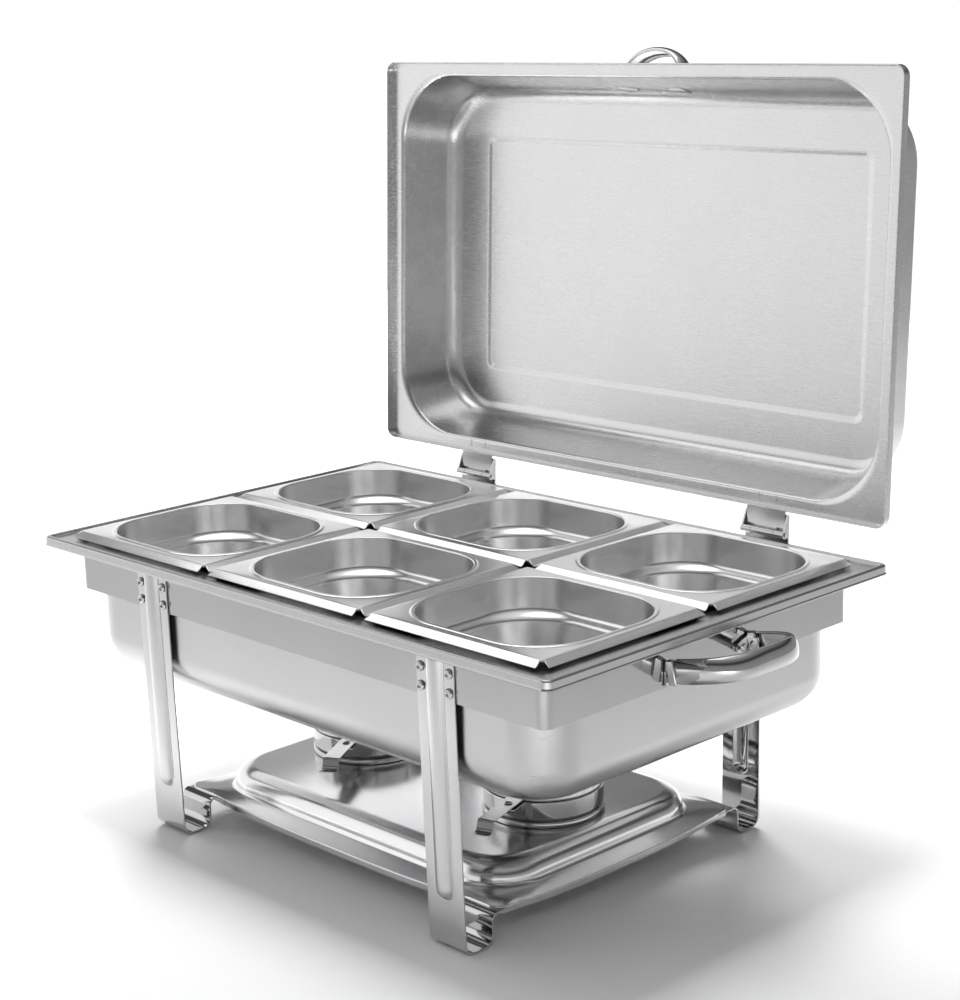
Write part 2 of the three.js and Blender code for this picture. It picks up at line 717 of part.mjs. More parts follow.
function pivotRivet() {
  const low = CUP_TOP - 1.6 - GAP;
  const high = COVER_BASE + 2 * COVER_SHEET + 2 * GAP;
  return turned(
    [
      [0, low - 1],
      [3, low - 1],
      [3, low],
      [1.55, low],
      [1.55, high],
      [3.2, high],
      [2.4, high + 1.2],
      [0, high + 1.4],
    ],
    8,
  ).translate(PIVOT_RADIUS, 0, 0);
}

// ---------------------------------------------------------------- assembly
place("frame_band", frameBand(), "mirror");
for (const spot of legPlaces) place(`leg_${spot.name}`, leg(spot), "mirror");
for (const spot of rivetPlaces) place(spot.name, rivet(spot), "rivet");
place("base_tray", baseTray(), "mirror");
place("water_pan", waterPan(), "satin");

for (const [row, iy] of [["front", -0.5], ["rear", 0.5]]) {
  for (const [column, ix] of [["left", -1], ["middle", 0], ["right", 1]]) {
    const pan = place(`food_pan_${row}_${column}`, foodPan(), "brushed");
    pan.position.set(ix * PAN_PITCH_X, iy * PAN_PITCH_Y, 0);
  }
}

for (const [hand, side] of [["left", -1], ["right", 1]]) {
  const handle = new THREE.Group();
  handle.position.set(side * BAND_X, 0, SIDE_HANDLE_Z);
  handle.rotation.z = (side * Math.PI) / 2;
  assembly.add(handle);
  handleSet(`side_handle_${hand}`, SIDE_HANDLE, handle);

  const hinge = new THREE.Group();
  hinge.position.set(side * HINGE_X, HINGE_Y, HINGE_Z);
  assembly.add(hinge);
  place(`hinge_bracket_${hand}`, hingeBracket(), "mirror", hinge);
  place(`hinge_pin_${hand}`, hingePin(), "rivet", hinge);

  const burner = new THREE.Group();
  burner.position.x = side * BURNER_X;
  burner.rotation.z = (BURNER_TURN[hand] * Math.PI) / 180;
  assembly.add(burner);
  place(`burner_seat_${hand}`, seatRing(), "mirror", burner);
  place(`burner_cup_${hand}`, burnerCup(), "mirror", burner);
  place(`burner_bracket_${hand}`, pivotBracket(), "mirror", burner);
  place(`burner_cover_${hand}`, burnerCover(), "mirror", burner);
  place(`cover_handle_${hand}`, coverHandle(), "mirror", burner);
  place(`cover_pivot_${hand}`, pivotRivet(), "rivet", burner);
}

// The lid's group turns about the hinge axis; inside it everything is drawn for the closed lid.
const lid = new THREE.Group();
lid.position.set(0, HINGE_Y, HINGE_Z);
lid.rotation.x = (-LID_OPEN * Math.PI) / 180;
assembly.add(lid);
const lidRim = new THREE.Group();
lidRim.position.set(0, -HINGE_Y, LID_BASE - HINGE_Z);
lid.add(lidRim);
place("lid", lidShell(), "brushed", lidRim);
const lidHandle = new THREE.Group();
const wallLean = Math.atan2(LID_MOUTH_Y - LID_ROOF_Y, LID_HEIGHT - LID_LIP - 12);
const wallAtHandle = LID_MOUTH_Y + SHEET - (LID_HANDLE_Z - LID_LIP) * Math.tan(wallLean);
lidHandle.position.set(0, -wallAtHandle - GAP, LID_HANDLE_Z);
lidHandle.rotation.x = -wallLean;
lidRim.add(lidHandle);
handleSet("lid_handle", LID_HANDLE, lidHandle);
for (const [hand, side] of [["left", -1], ["right", 1]]) {
  const leaf = place(`hinge_leaf_${hand}`, hingeLeaf(), "mirror", lid);
  leaf.position.x = side * HINGE_X;
}

// The part's origin is under the middle of its outline at rest.
assembly.updateMatrixWorld(true);
const extent = new THREE.Box3().setFromObject(assembly, true);
assembly.position.y = -(extent.min.y + extent.max.y) / 2;

const part = new THREE.Group();
part.add(assembly);
export default part;
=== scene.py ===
"""Looks for the chafing dish: fine sheet-metal pieces, procedural steels, a pale floor and soft light."""

import json
import math

import bmesh
import bpy
import numpy as np
from mathutils import Matrix, Vector


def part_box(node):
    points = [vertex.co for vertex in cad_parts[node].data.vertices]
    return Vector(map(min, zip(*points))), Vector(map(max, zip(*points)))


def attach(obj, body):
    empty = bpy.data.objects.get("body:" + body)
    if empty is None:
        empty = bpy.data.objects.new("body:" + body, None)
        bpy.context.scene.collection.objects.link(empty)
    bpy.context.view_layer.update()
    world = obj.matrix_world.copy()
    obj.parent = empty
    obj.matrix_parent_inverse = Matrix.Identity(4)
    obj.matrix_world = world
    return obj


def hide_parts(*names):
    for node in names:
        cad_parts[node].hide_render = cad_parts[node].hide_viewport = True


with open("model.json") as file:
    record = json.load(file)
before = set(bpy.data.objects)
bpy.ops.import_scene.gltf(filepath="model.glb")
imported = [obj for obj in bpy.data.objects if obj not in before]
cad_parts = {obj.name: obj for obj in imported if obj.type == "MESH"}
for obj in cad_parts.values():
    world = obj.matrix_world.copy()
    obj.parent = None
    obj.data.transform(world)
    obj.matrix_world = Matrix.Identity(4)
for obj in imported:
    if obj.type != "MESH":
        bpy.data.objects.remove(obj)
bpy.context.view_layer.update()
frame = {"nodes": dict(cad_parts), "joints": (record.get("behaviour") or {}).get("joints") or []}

# ---------------------------------------------------------------- frame and driving dimensions
# Shapes are drawn in millimetres about the water pan's centre line, with z from the floor.
MM = 0.001
joints = {joint["name"]: joint for joint in frame["joints"]}
pan_low, pan_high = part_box("water_pan")
CENTRE = Vector(((pan_low.x + pan_high.x) / 2, (pan_low.y + pan_high.y) / 2, 0))
STAND = Matrix.Translation(CENTRE) @ Matrix.Scale(MM, 4)


def span(node, axis):
    """Lowest and highest coordinate of a CAD node along an axis, in drawing millimetres."""
    low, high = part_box(node)
    return [(corner[axis] - CENTRE[axis]) / MM for corner in (low, high)]


SHEET = 1.2
FOOD_SHEET = 0.9
RIM_X, RIM_Y, RIM_TOP = span("water_pan", 0)[1], span("water_pan", 1)[1], span("water_pan", 2)[1]
WATER_X, WATER_Y = 257.8, 156.8  # inside faces of the water pan's walls
WATER_FLOOR = span("water_pan", 2)[0] + SHEET
LEDGE = RIM_TOP - 2
BAND_X, BAND_Y = span("frame_band", 0)[1], span("frame_band", 1)[1]
BAND_LOW = span("frame_band", 2)[0]
BAND_HIGH = LEDGE - SHEET - 0.1  # the pan's ledge rests on the band, a little below the CAD band's top
PAN_TOP = span("food_pan_front_middle", 2)[1]
PAN_FLOOR = span("food_pan_front_middle", 2)[0] + FOOD_SHEET
PAN_SHOULDER = 24  # depth of the stacking shoulder below the flange
LEG_WIDTH = span("leg_front_left", 0)[1] - span("leg_front_left", 0)[0]
LEG_TOP = span("leg_front_left", 2)[1]
LEG_SHEET = 1.5
LEG_LEAN = 3
RIB_HALF, RIB_BULGE, RIB_END = 8.2, 4.5, 39
TRAY_X, TRAY_Y = span("base_tray", 0)[1], span("base_tray", 1)[1]
TRAY_TOP = 25.5
PLATFORM_X, PLATFORM_Y = 165, 111
PLATFORM_TOP = span("base_tray", 2)[1]
BURNER_X = 100
BURNER_RADIUS = 46
BURNER_TURN = {"left": -60, "right": -72}
PIVOT_RADIUS = 57
LID_X, LID_Y, LID_HEIGHT, LID_LIP = 276.2, 168.75, 64, 7.2
LID_BASE = 228.4
PANEL_X, PANEL_Y = 204.8, 100.5
SIDES = (("left", -1), ("right", 1))
ROWS = (("front", -1), ("rear", 1))

hinge_joint = joints["lid_hinge"]
HINGE = Vector(hinge_joint["pos_m"])
LID_OPEN = math.radians(hinge_joint["range_deg"][0])
HINGE_Y, HINGE_Z = (HINGE.y - CENTRE.y) / MM, HINGE.z / MM
LID_STAND = (
    STAND
    @ Matrix.Translation((0, HINGE_Y, HINGE_Z))
    @ Matrix.Rotation(LID_OPEN, 4, "X")
    @ Matrix.Translation((0, -HINGE_Y, LID_BASE - HINGE_Z))
)


# ---------------------------------------------------------------- outlines
def fillet(points, trims, steps=5, metric=(0, -1)):
    """A polyline with each corner rounded: trims[i] is how much of each leg the arc takes up."""
    points = [np.array(p, float) for p in points]
    made = []
    for i, point in enumerate(points):
        trim = trims[i]
        if not trim or i in (0, len(points) - 1):
            made.append(point)
            continue
        back, ahead = points[i - 1] - point, points[i + 1] - point
        back_length, ahead_length = (math.hypot(*(v[list(metric)])) for v in (back, ahead))
        trim = min(trim, back_length * 0.49, ahead_length * 0.49)
        start, end = point + back * trim / back_length, point + ahead * trim / ahead_length
        chord = math.hypot(*((end - start)[list(metric)])) / 2
        weight = min(1.0, chord / trim)  # makes the rational curve a true arc
        for k in range(steps + 1):
            t = k / steps
            w = ((1 - t) ** 2, 2 * t * (1 - t) * weight, t * t)
            made.append((w[0] * start + w[1] * point + w[2] * end) / sum(w))
    return made


def ring(x, y, r, z, arc=8, run=6, near=0.0):
    """A rounded rectangle's points, counter-clockwise; near puts straight points close to each corner."""
    r = max(r, 0.2)
    points = []
    for corner in range(4):
        cx = (x - r) * (1 if corner in (0, 3) else -1)
        cy = (y - r) * (1 if corner < 2 else -1)
        for i in range(arc + 1):
            a = (corner + i / arc) * math.pi / 2
            points.append((cx + r * math.cos(a), cy + r * math.sin(a), z))
        length = 2 * ((x if corner % 2 == 0 else y) - r)
        along = (-1, 0) if corner == 0 else (0, -1) if corner == 1 else (1, 0) if corner == 2 else (0, 1)
        start = points[-1]
        for i in range(run):
            share = (i + 1) / (run + 1)
            if near:
                share = (near + i / (run - 1) * (length - 2 * near)) / length
            points.append((start[0] + along[0] * length * share, start[1] + along[1] * length * share, z))
    return np.array(points)


def offset(levels, distance):
    """Levels (x, y, r, z) moved to the right of their path, which is under or inside a sheet."""
    moved = []
    for i, level in enumerate(levels):
        a, b = levels[max(i - 1, 0)], levels[min(i + 1, len(levels) - 1)]
        dx, dz = b[0] - a[0], b[3] - a[3]
        length = math.hypot(dx, dz) or 1
        nx, nz = dz / length * distance, -dx / length * distance
        moved.append(np.array([level[0] + nx, level[1] + nx, max(level[2] + nx, 0.3), level[3] + nz]))
    return moved


# ---------------------------------------------------------------- solids, as (vertices, faces)
def loft(rings, loop=False):
    count = len(rings[0])
    verts = np.vstack(rings)
    faces = []
    for k in range(len(rings) if loop else len(rings) - 1):
        low, high = k * count, (k + 1) % len(rings) * count
        for i in range(count):
            j = (i + 1) % count
            faces.append((low + i, low + j, high + j, high + i))
    if not loop:
        last = (len(rings) - 1) * count
        faces.append(tuple(range(count))[::-1])
        faces.append(tuple(last + i for i in range(count)))
    return verts, faces


def sheet(levels, thickness, warp=None, **ringing):
    """A drawn sheet: levels run from its middle outwards along the top face, ending at its free edge."""
    under = offset(levels, thickness)
    edge = (levels[-1] + under[-1]) / 2
    tip = levels[-1] - levels[-2]
    edge = edge + tip / (math.hypot(tip[0], tip[3]) or 1) * thickness * 0.3
    rings = [ring(*level, **ringing) for level in [*levels, edge, *under[::-1]]]
    if warp:
        rings = [warp(points) for points in rings]
    return loft(rings)


def slab(front, back):
    """A closed solid between two grids of points of the same shape."""
    rows, columns = front.shape[:2]
    verts = np.vstack([front.reshape(-1, 3), back.reshape(-1, 3)])
    size = rows * columns
    faces = []
    for i in range(rows - 1):
        for j in range(columns - 1):
            a = i * columns + j
            quad = (a, a + 1, a + columns + 1, a + columns)
            faces.append(quad)
            faces.append(tuple(size + v for v in quad[::-1]))
    border = [j for j in range(columns)]
    border += [i * columns + columns - 1 for i in range(1, rows)]
    border += [(rows - 1) * columns + j for j in range(columns - 2, -1, -1)]
    border += [i * columns for i in range(rows - 2, 0, -1)]
    for a, b in zip(border, border[1:] + border[:1]):
        faces.append((b, a, size + a, size + b))
    return verts, faces


def turned(profile, segments=48):
    """A solid of revolution about z from (radius, z) points; a profile off the axis closes on itself."""
    rings = []
    on_axis = profile[0][0] == 0
    for r, z in profile[1:-1] if on_axis else profile:
        angles = np.arange(segments) * 2 * math.pi / segments
        rings.append(np.stack([r * np.cos(angles), r * np.sin(angles), np.full(segments, z)], 1))
    return loft(rings, loop=not on_axis)


def strip(path, width, thickness, lead=0.25):
    """A flat strap: path is (u, z) points of its outer face, and its width runs along x."""
    path = np.array(path, float)
    tangent = np.gradient(path, axis=0)
    tangent /= np.linalg.norm(tangent, axis=1)[:, None]
    normal = np.stack([-tangent[:, 1], tangent[:, 0]], 1)
    half = width / 2
    columns = [(-half, lead), (-half + lead, 0), (half - lead, 0), (half, lead)]
    grids = []
    for side in (0, 1):
        depth = [side * thickness + (1 - 2 * side) * ease for _, ease in columns]
        grids.append(
            np.array([[(w, *(p - n * d)) for (w, _), d in zip(columns, depth)] for p, n in zip(path, normal)])
        )
    return slab(*grids)


def box(low, high, bevel=0.4):
    """A block with softened edges."""
    x0, y0, z0 = low
    x1, y1, z1 = high
    cx, cy, hx, hy = (x0 + x1) / 2, (y0 + y1) / 2, (x1 - x0) / 2, (y1 - y0) / 2
    bevel = min(bevel, hx * 0.9, hy * 0.9, (z1 - z0) * 0.45)
    rings = []
    for inset, z in ((bevel, z0), (0, z0 + bevel), (0, z1 - bevel), (bevel, z1)):
        points = ring(hx - inset, hy - inset, bevel, z, arc=2, run=0)
        rings.append(points + np.array([cx, cy, 0]))
    return loft(rings)


def moved(shape, matrix):
    verts, faces = shape
    return np.array([matrix @ Vector(v) for v in verts]), faces


def joined(*shapes):
    verts, faces, count = [], [], 0
    for v, f in shapes:
        verts.append(v)
        faces += [tuple(count + i for i in face) for face in f]
        count += len(v)
    return np.vstack(verts), faces


# ---------------------------------------------------------------- pieces
def piece(name, shape, body, nodes, steel, place=STAND):
    """Makes a mesh object from a solid, in place, riding on a body and standing for CAD nodes."""
    verts, faces = shape
    mesh = bpy.data.meshes.new(name)
    mesh.from_pydata([place @ Vector(v) for v in verts], [], faces)
    work = bmesh.new()
    work.from_mesh(mesh)
    bmesh.ops.remove_doubles(work, verts=work.verts, dist=1e-7)
    bmesh.ops.recalc_face_normals(work, faces=work.faces)
    work.to_mesh(mesh)
    work.free()
    for face in mesh.polygons:
        face.use_smooth = True
    made = bpy.data.objects.new(name, mesh)
    bpy.context.scene.collection.objects.link(made)
    made.data.materials.append(steel)
    weighted = made.modifiers.new("weighted", "WEIGHTED_NORMAL")
    weighted.mode = "FACE_AREA"
    weighted.weight = 60
    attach(made, body)
    if nodes:
        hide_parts(*nodes)
    return made


# ---------------------------------------------------------------- steels
def steel(name, colour, roughness, grain, grain_depth, cloud=0.03, wave=0.0, anisotropy=0.0):
    """Stainless steel: grain is how many fine lines there are per metre along x, y and z."""
    made = bpy.data.materials.new(name)
    made.use_nodes = True
    nodes, links = made.node_tree.nodes, made.node_tree.links
    shader = nodes["Principled BSDF"]
    shader.inputs["Metallic"].default_value = 1.0
    shader.inputs["Anisotropic"].default_value = anisotropy
    place = nodes.new("ShaderNodeTexCoord")

    def noise(scale, detail, stretch=(1, 1, 1)):
        mapping = nodes.new("ShaderNodeMapping")
        mapping.inputs["Scale"].default_value = stretch
        links.new(place.outputs["Object"], mapping.inputs["Vector"])
        pattern = nodes.new("ShaderNodeTexNoise")
        pattern.inputs["Scale"].default_value = scale
        pattern.inputs["Detail"].default_value = detail
        links.new(mapping.outputs["Vector"], pattern.inputs["Vector"])
        return pattern.outputs["Fac"]

    lines = noise(1.0, 3.0, grain)
    clouds = noise(14.0, 4.0)
    both = nodes.new("ShaderNodeMix")
    both.inputs["Factor"].default_value = 0.5
    links.new(lines, both.inputs["A"])
    links.new(clouds, both.inputs["B"])
    rough = nodes.new("ShaderNodeMapRange")
    rough.inputs["From Min"].default_value = 0.3
    rough.inputs["From Max"].default_value = 0.7
    rough.inputs["To Min"].default_value = roughness * 0.9
    rough.inputs["To Max"].default_value = roughness * 1.12
    links.new(both.outputs["Result"], rough.inputs["Value"])
    links.new(rough.outputs["Result"], shader.inputs["Roughness"])

    tone = nodes.new("ShaderNodeValToRGB")
    tone.color_ramp.elements[0].position = 0.3
    tone.color_ramp.elements[0].color = (*[c * (1 - cloud) for c in colour], 1)
    tone.color_ramp.elements[1].position = 0.7
    tone.color_ramp.elements[1].color = (*[min(c * (1 + cloud), 1) for c in colour], 1)
    links.new(clouds, tone.inputs["Fac"])
    links.new(tone.outputs["Color"], shader.inputs["Base Color"])

    fine = nodes.new("ShaderNodeBump")
    fine.inputs["Distance"].default_value = grain_depth * MM
    fine.inputs["Strength"].default_value = 0.6
    links.new(lines, fine.inputs["Height"])
    if wave:
        broad = nodes.new("ShaderNodeBump")
        broad.inputs["Distance"].default_value = wave * MM
        links.new(noise(9.0, 1.0), broad.inputs["Height"])
        links.new(broad.outputs["Normal"], fine.inputs["Normal"])
    links.new(fine.outputs["Normal"], shader.inputs["Normal"])
    return made


GREY = (0.57, 0.57, 0.575)
POLISHED = steel("polished_steel", GREY, 0.07, (60, 60, 60), 0.002, wave=0.35)
# painted shade: the band is the polished steel given a darker colour, standing in for the dark room it reflects
BAND = steel("band_steel_painted_shade", (0.42, 0.42, 0.425), 0.07, (60, 60, 60), 0.002, wave=0.35)
TRAY = steel("tray_steel", (0.80, 0.80, 0.805), 0.17, (12, 900, 900), 0.004, wave=0.25)
SATIN = steel("pan_steel", (0.52, 0.52, 0.525), 0.25, (60, 60, 1200), 0.001, 0.02, wave=0.12)
# painted light: the food pans' satin steel is given a near-white colour, lighter than the water pan's, for the
# bright light they catch
FOOD = steel("food_pan_steel", (0.92, 0.92, 0.925), 0.24, (300, 60, 300), 0.0004, 0.01, wave=0.04)
# painted light: the lid's satin steel is given a lighter colour than the water pan's, to brighten the lid
# beyond what the lamps give it
LID = steel("lid_steel", (0.70, 0.70, 0.705), 0.27, (60, 2200, 2200), 0.0012, wave=0.3)
HINGE_STEEL = steel("hinge_steel", GREY, 0.22, (1200, 1200, 60), 0.01)
BURNER = steel("burner_steel", GREY, 0.12, (90, 90, 90), 0.003, wave=0.15)
RIVET = steel("rivet_steel", (0.6, 0.6, 0.605), 0.2, (80, 80, 80), 0.005)


# ---------------------------------------------------------------- frame
def frame_band():
    levels = [
        (BAND_X - 0.25, BAND_Y - 0.25, 7.75, BAND_LOW),
        (BAND_X, BAND_Y, 8, BAND_LOW + 0.25),
        (BAND_X, BAND_Y, 8, BAND_HIGH - 0.25),
        (BAND_X - 0.25, BAND_Y - 0.25, 7.75, BAND_HIGH),
        (BAND_X - SHEET, BAND_Y - SHEET, 6.8, BAND_HIGH),
        (BAND_X - SHEET, BAND_Y - SHEET, 6.8, BAND_LOW),
    ]
    return loft([ring(*level, arc=12, run=1) for level in levels], loop=True)


def leg(x, sy):
    """A strap with an embossed rib, bent round a J foot and in under the tray."""
    face = -(BAND_Y + 0.3 + LEG_SHEET)
    front = face + LEG_LEAN
    foot_back = front + 27
    tab = TRAY_TOP - SHEET - 0.3 - LEG_SHEET  # the strap lies under the tray
    path = fillet(
        [
            (face, LEG_TOP),
            (face, BAND_LOW),
            (front, 0),
            (foot_back, 0),
            (foot_back, tab),
            (foot_back + 22, tab),
        ],
        (0, 6, 9, 9, 5, 0),
        steps=10,
        metric=(0, 1),
    )
    path = np.array(path)
    # extra stations down the straight strap, so that the rib's rounded end is smooth
    dense = [path[0]]
    for a, b in zip(path, path[1:]):
        count = max(1, int(np.linalg.norm(b - a) / 6))
        dense += [a + (b - a) * (k + 1) / count for k in range(count)]
    for height in np.arange(RIB_END - 1, RIB_END + RIB_HALF + 1, 0.9):
        share = (BAND_LOW - height) / BAND_LOW
        dense.append(np.array([face + LEG_LEAN * share, height]))
    straight = sorted((p for p in dense if p[1] > 12 and p[0] < front + 1), key=lambda p: -p[1])
    path = np.array(straight + [p for p in dense if p[1] <= 12 or p[0] >= front + 1])
    tangent = np.gradient(path, axis=0)
    tangent /= np.linalg.norm(tangent, axis=1)[:, None]
    normal = np.stack([tangent[:, 1], -tangent[:, 0]], 1)
    half = LEG_WIDTH / 2
    inner = [RIB_HALF * s for s in (0, 0.17, 0.34, 0.5, 0.64, 0.77, 0.88, 0.96, 1.0, 1.06)]
    columns = [*inner, 12, half - 0.35, half]
    columns = [-c for c in columns[:0:-1]] + columns

    def surface(depth, bulge, rib_half):
        grid = []
        for (y, z), n in zip(path, normal):
            row = []
            for w in columns:
                below = max(0.0, RIB_END + RIB_HALF - z)
                reach = (w * w + below * below) / rib_half**2
                on_strap = y < front + 1 and z > RIB_END - 2
                rise = bulge * max(0.0, 1 - reach) ** 0.62 if on_strap else 0.0
                ease = 0.3 if abs(w) > half - 0.1 else 0.0
                out = rise - depth - (ease if depth == 0 else -ease)
                row.append((x + w, y + n[0] * out, z + n[1] * out))
            grid.append(row)
        return np.array(grid)

    verts, faces = slab(surface(0, RIB_BULGE, RIB_HALF), surface(LEG_SHEET, RIB_BULGE, RIB_HALF - 1))
    if sy > 0:
        verts = verts * np.array([1, -1, 1])
    return verts, faces


def rivet(node, sy):
    """A domed head standing on the strap, with its shank and a flat tail inside."""
    (x0, x1), (y0, y1), (z0, z1) = (span(node, axis) for axis in range(3))
    x, z, radius, length = (x0 + x1) / 2, (z0 + z1) / 2, (x1 - x0) / 2, y1 - y0
    head = 1.6
    rim = radius * 0.52  # the head is a rolled tube end with a dimple in its middle
    profile = [
        (0, 0),
        (radius * 0.75, 0),
        (radius * 0.8, 0.15),
        (radius * 0.8, 0.7),
        (1.9, 0.7),
        (1.9, length - head),
        (radius * 0.97, length - head),
        (radius, length - head + 0.25),
        (radius * 0.95, length - head * 0.5),
        (radius * 0.82, length - 0.15),
        (radius * 0.7, length),
        (rim + 0.1, length - 0.1),
        (rim, length - 0.5),
        (rim * 0.8, length - 1.2),
        (0, length - 1.3),
    ]
    turn = Matrix.Rotation(math.radians(90 if sy < 0 else -90), 4, "X")
    start = y1 if sy < 0 else y0
    return moved(turned(profile, 24), Matrix.Translation((x, start, z)) @ turn)


def tray_warp(points):
    """The margin round the platform bows down between its corners, where it is fixed to the legs."""
    made = points.copy()
    for p in made:
        out_x = (abs(p[0]) - PLATFORM_X) / (TRAY_X - PLATFORM_X)
        out_y = (abs(p[1]) - PLATFORM_Y) / (TRAY_Y - PLATFORM_Y)
        out = min(max(out_x, out_y, 0.0), 1.0)
        share = abs(p[0]) / 150 if out_y >= out_x else abs(p[1]) / 112
        p[2] -= 5.0 * out * max(0.0, 1 - share**3)
    return made


def base_tray():
    """A stamped platform with rolled shoulders, a sharp step and a sloping margin with a turned-down lip."""
    roll, rise = 14, PLATFORM_TOP - TRAY_TOP - 3
    levels = [np.array((60, 20, 6, PLATFORM_TOP))]
    for k in range(13):
        turn = k / 12 * math.pi / 2
        inset = roll * (1 - math.sin(turn))
        height = PLATFORM_TOP - rise * (1 - math.cos(turn))
        levels.append(np.array((PLATFORM_X - inset, PLATFORM_Y - inset, 40 - inset * 0.6, height)))
    levels.append(np.array((PLATFORM_X + 0.2, PLATFORM_Y + 0.2, 40, TRAY_TOP + 1.6)))
    levels.append(np.array((PLATFORM_X + 1.4, PLATFORM_Y + 1.4, 39, TRAY_TOP + 0.2)))
    foot = np.array((PLATFORM_X + 2, PLATFORM_Y + 2, 38, TRAY_TOP))
    rim = np.array((TRAY_X - 1.8, TRAY_Y - 1.8, 9, TRAY_TOP))
    levels += [foot + (rim - foot) * k / 6 for k in range(7)]
    edge = [rim, (TRAY_X, TRAY_Y, 10, TRAY_TOP), (TRAY_X, TRAY_Y, 10, TRAY_TOP - 5)]
    levels += fillet(edge, (0, 1.7, 0), steps=6)[1:]
    return sheet(levels, SHEET, warp=tray_warp, arc=14, run=16)


# ---------------------------------------------------------------- pans
def water_pan():
    levels = fillet(
        [
            (120, 60, 6, WATER_FLOOR),
            (WATER_X, WATER_Y, 34, WATER_FLOOR),
            (WATER_X, WATER_Y, 36, LEDGE),
            (RIM_X - 5.6, RIM_Y - 5.6, 4, LEDGE),
            (RIM_X - 4.6, RIM_Y - 4.6, 4.4, RIM_TOP),
            (RIM_X - 0.8, RIM_Y - 0.8, 6, RIM_TOP),
            (RIM_X - 0.6, RIM_Y - 0.6, 6.2, RIM_TOP - 6.0),
            (RIM_X, RIM_Y, 6.6, RIM_TOP - 7.0),
        ],
        (0, 27, 2.0, 0.7, 0.7, 1.7, 0.4, 0),
        steps=8,
    )
    return sheet(levels, SHEET - 0.1, arc=16, run=3)


def food_pan(cx, cy):
    """A sixth-size pan: a stacking shoulder, a beaded mouth, and a flange folded down at its edges."""
    spans = [span("food_pan_front_middle", axis) for axis in (0, 1)]
    half_x, half_y = ((high - low) / 2 for low, high in spans)
    run, drop = 6.6, 3.6
    wall = fillet(
        [
            (20, 14, 8, PAN_FLOOR),
            (67.0, 60.0, 36, PAN_FLOOR),
            (70.4, 63.4, 48, PAN_TOP - PAN_SHOULDER - 5),
            (75.0, 68.0, 46.3, PAN_TOP - PAN_SHOULDER),
            (75.3, 68.3, 46.5, PAN_TOP + 0.8),
            (77.8, 70.8, 48.2, PAN_TOP + 0.8),
            (78.9, 71.9, 48.8, PAN_TOP),
        ],
        (0, 10, 2.4, 2.4, 1.0, 1.0, 0),
        steps=6,
    )

    def edge(out, down, r):
        shape = ring(half_x - run + out, half_y - run + out, r, PAN_TOP - down, arc=16, run=6, near=0.7)
        return shape

    def notched(fold, skirt):
        """The skirt stops short of each corner, where the sheet is cut back to the fold."""
        corner = np.array([i % 23 <= 16 for i in range(len(skirt))])
        return np.where(corner[:, None], fold + np.array([0, 0, -1.0]), skirt)

    fold = edge(0.5, 0.3, 2.0)
    inner_fold = edge(0.2, 1.3, 1.8)
    tops = [ring(*level, arc=16, run=6) for level in wall]
    tops += [edge(0, 0, 1.6), fold, notched(fold, edge(run, drop, 5.6))]
    unders = [ring(*level, arc=16, run=6) for level in offset(wall, FOOD_SHEET)]
    unders += [edge(-0.4, 1.0, 1.5), inner_fold, notched(inner_fold, edge(run - 0.5, drop + 0.8, 5.3))]
    verts, faces = loft([*tops, *unders[::-1]])
    return verts + np.array([cx, cy, 0]), faces


# ---------------------------------------------------------------- lid, drawn closed with z from its lip edge
def lid_shell():
    roof = LID_HEIGHT - SHEET
    levels = fillet(
        [
            (60, 30, 4, LID_HEIGHT),
            (PANEL_X, PANEL_Y, 6, LID_HEIGHT),
            (PANEL_X + 3.6, PANEL_Y + 3.6, 8, roof),
            (251.6, 145.2, 51, roof),
            (LID_X - 13.8, LID_Y - 10.6, 61, LID_LIP),
            (LID_X, LID_Y, 9, LID_LIP),
            (LID_X, LID_Y, 9, 0),
        ],
        (0, 1.2, 1.2, 13, 2.2, 1.6, 0),
        steps=8,
    )
    return sheet(levels, SHEET, arc=16, run=3)


def tongue_marks(side):
    """Two short marks on the flange where the hinge leaf's tongues were pressed through."""
    marks = []
    for across in (-8.5, 8.5):
        x = side * 162 + across
        y = LID_Y - 7
        face = LID_LIP - SHEET
        marks.append(box((x - 0.5, y - 3, face - 0.35), (x + 0.5, y + 3, face + 0.2), 0.15))
    return joined(*marks)


# ---------------------------------------------------------------- handles, standing out along -y from y = 0
HANDLE_WIDTH, HANDLE_SECTION, HANDLE_START = 18, 5, 10
GRIP_INSET = 0.95  # keeps the rounded strap inside the CAD handle


def grip(half, reach, power):
    """A C-shaped strap along half a superellipse."""
    steps = 72
    depth = reach - HANDLE_SECTION / 2 - HANDLE_START - GRIP_INSET
    path = []
    for i in range(steps + 1):
        t = math.pi * (1 - i / steps)
        c, s = math.cos(t), max(math.sin(t), 0.0)
        across = half * math.copysign(abs(c) ** (2 / power), c)
        path.append((across, -HANDLE_START - depth * s ** (2 / power)))
    path = np.array(path)
    # even spacing along the curve keeps the strap smooth round its two corners
    run = np.concatenate([[0], np.cumsum(np.linalg.norm(np.diff(path, axis=0), axis=1))])
    even = np.linspace(0, run[-1], 64)
    path = np.stack([np.interp(even, run, path[:, k]) for k in (0, 1)], 1)
    tangent = np.gradient(path, axis=0)
    tangent /= np.linalg.norm(tangent, axis=1)[:, None]
    wide = HANDLE_WIDTH / 2
    angles = np.linspace(0, math.pi, 17)
    outer = [(HANDLE_SECTION * math.sin(a) ** 0.8, -wide * math.cos(a)) for a in angles]
    lip = [(-0.35, wide - 0.3), (-0.35, wide - 0.9)]
    inner = [((HANDLE_SECTION - 1.4) * math.sin(a) ** 0.8 - 0.2, (wide - 1.2) * math.cos(a)) for a in angles]
    section = outer + lip + inner + [(o, -z) for o, z in lip[::-1]]
    rings = []
    for p, t in zip(path, tangent):
        out = np.array([t[1], -t[0]])
        rings.append(np.array([(*(p + out * (o - HANDLE_SECTION / 2)), z) for o, z in section]))
    return loft(rings)


